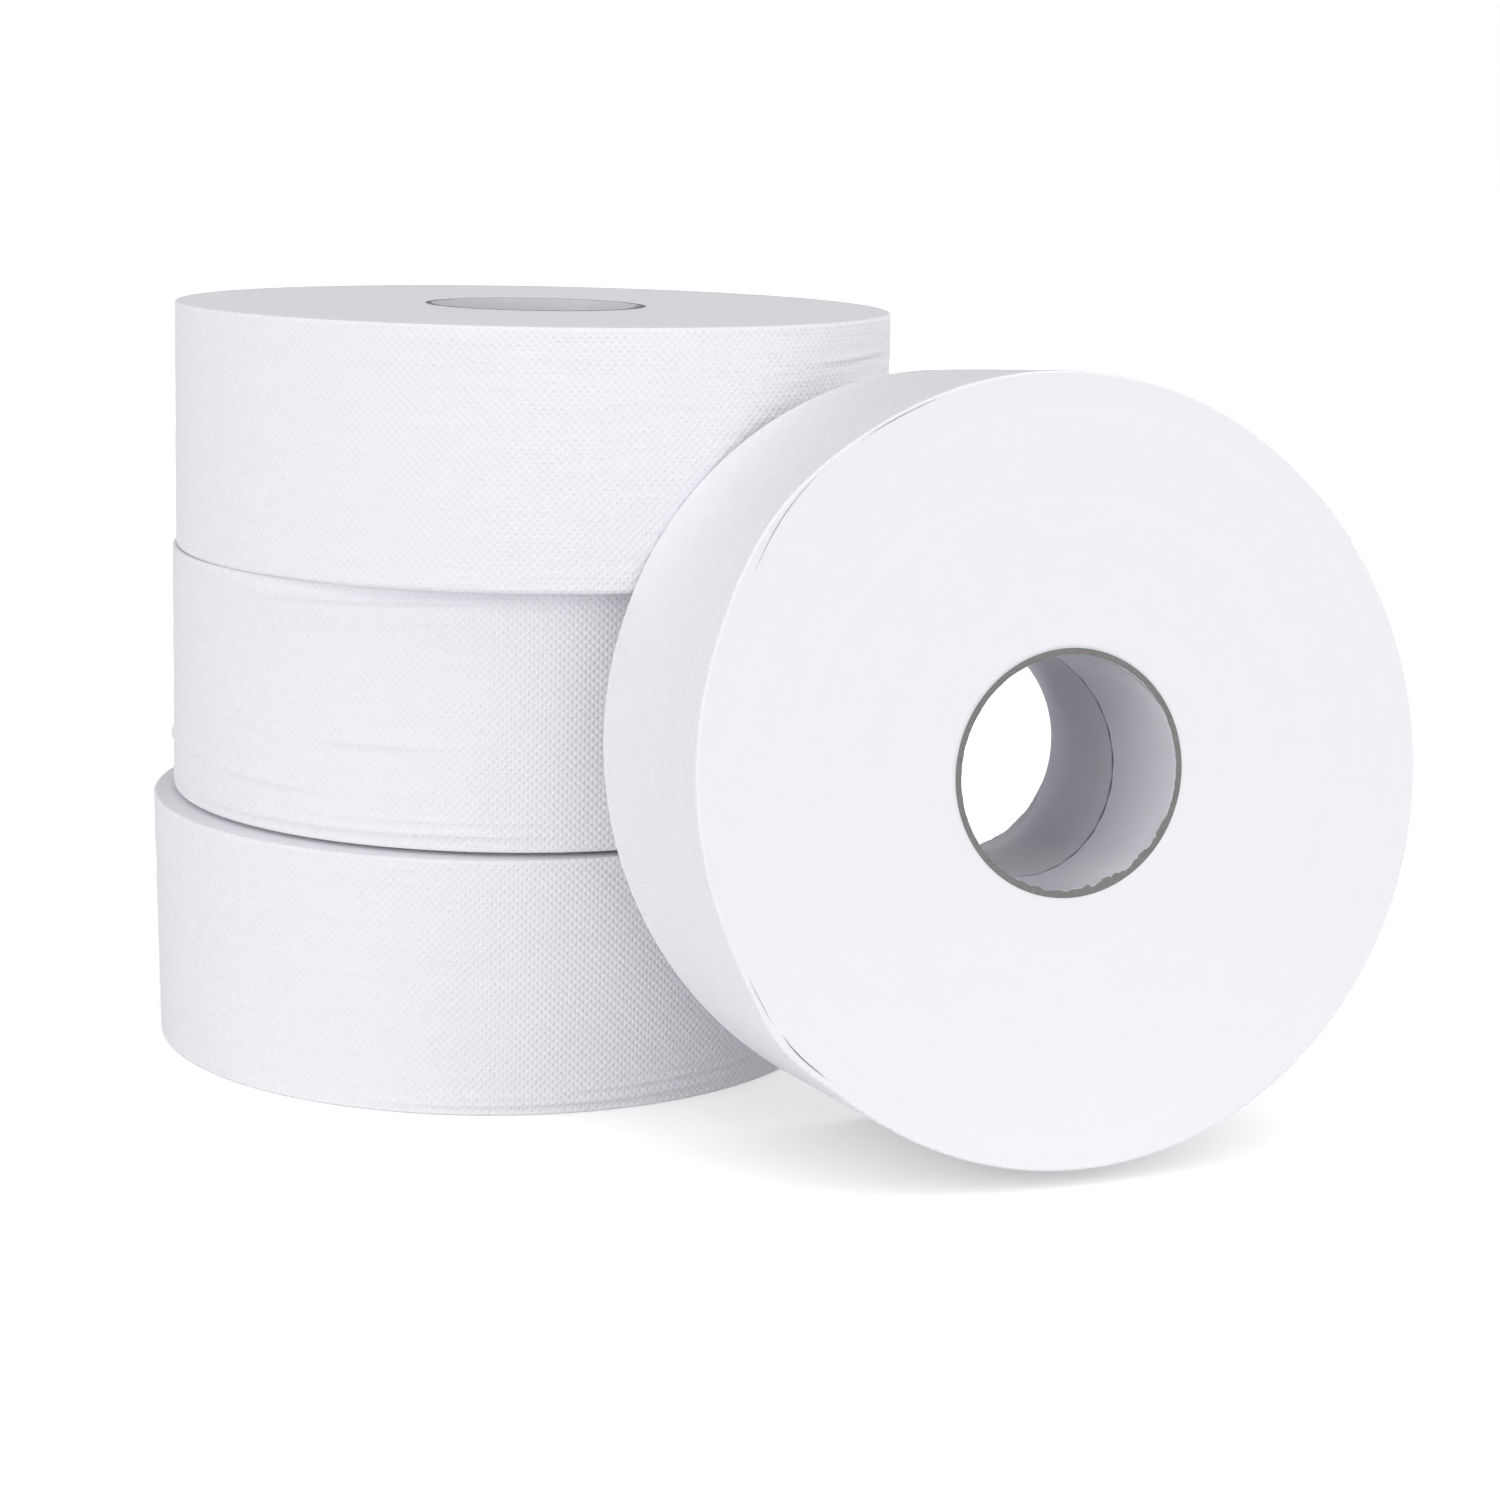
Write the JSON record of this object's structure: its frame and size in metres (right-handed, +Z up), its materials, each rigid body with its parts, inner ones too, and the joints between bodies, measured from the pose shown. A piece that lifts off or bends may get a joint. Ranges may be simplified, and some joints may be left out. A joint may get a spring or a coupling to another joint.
{
  "type": "toilet paper roll pack",
  "caption": "Pack of jumbo toilet paper rolls on cardboard cores: a stack laid flat, and one roll standing on its rim that leans on it.",
  "frame": {"origin": "on the floor, on the axis of the bottom roll's core", "axes": "+Z up along the stack, +X towards the viewer's right, where the fourth roll stands, -Y towards the viewer"},
  "size_m": [0.4325, 0.3598, 0.2695],
  "materials": {
    "tissue": "soft, matt, embossed",
    "core_board": "matt grey board, spiral wound"
  },
  "bodies": {
    "root": {"bottom_roll_paper": "tissue", "bottom_roll_core": "core_board", "middle_roll_paper": "tissue", "middle_roll_core": "core_board", "top_roll_paper": "tissue", "top_roll_core": "core_board", "standing_roll_paper": "tissue", "standing_roll_core": "core_board"}
  },
  "joints": []
}
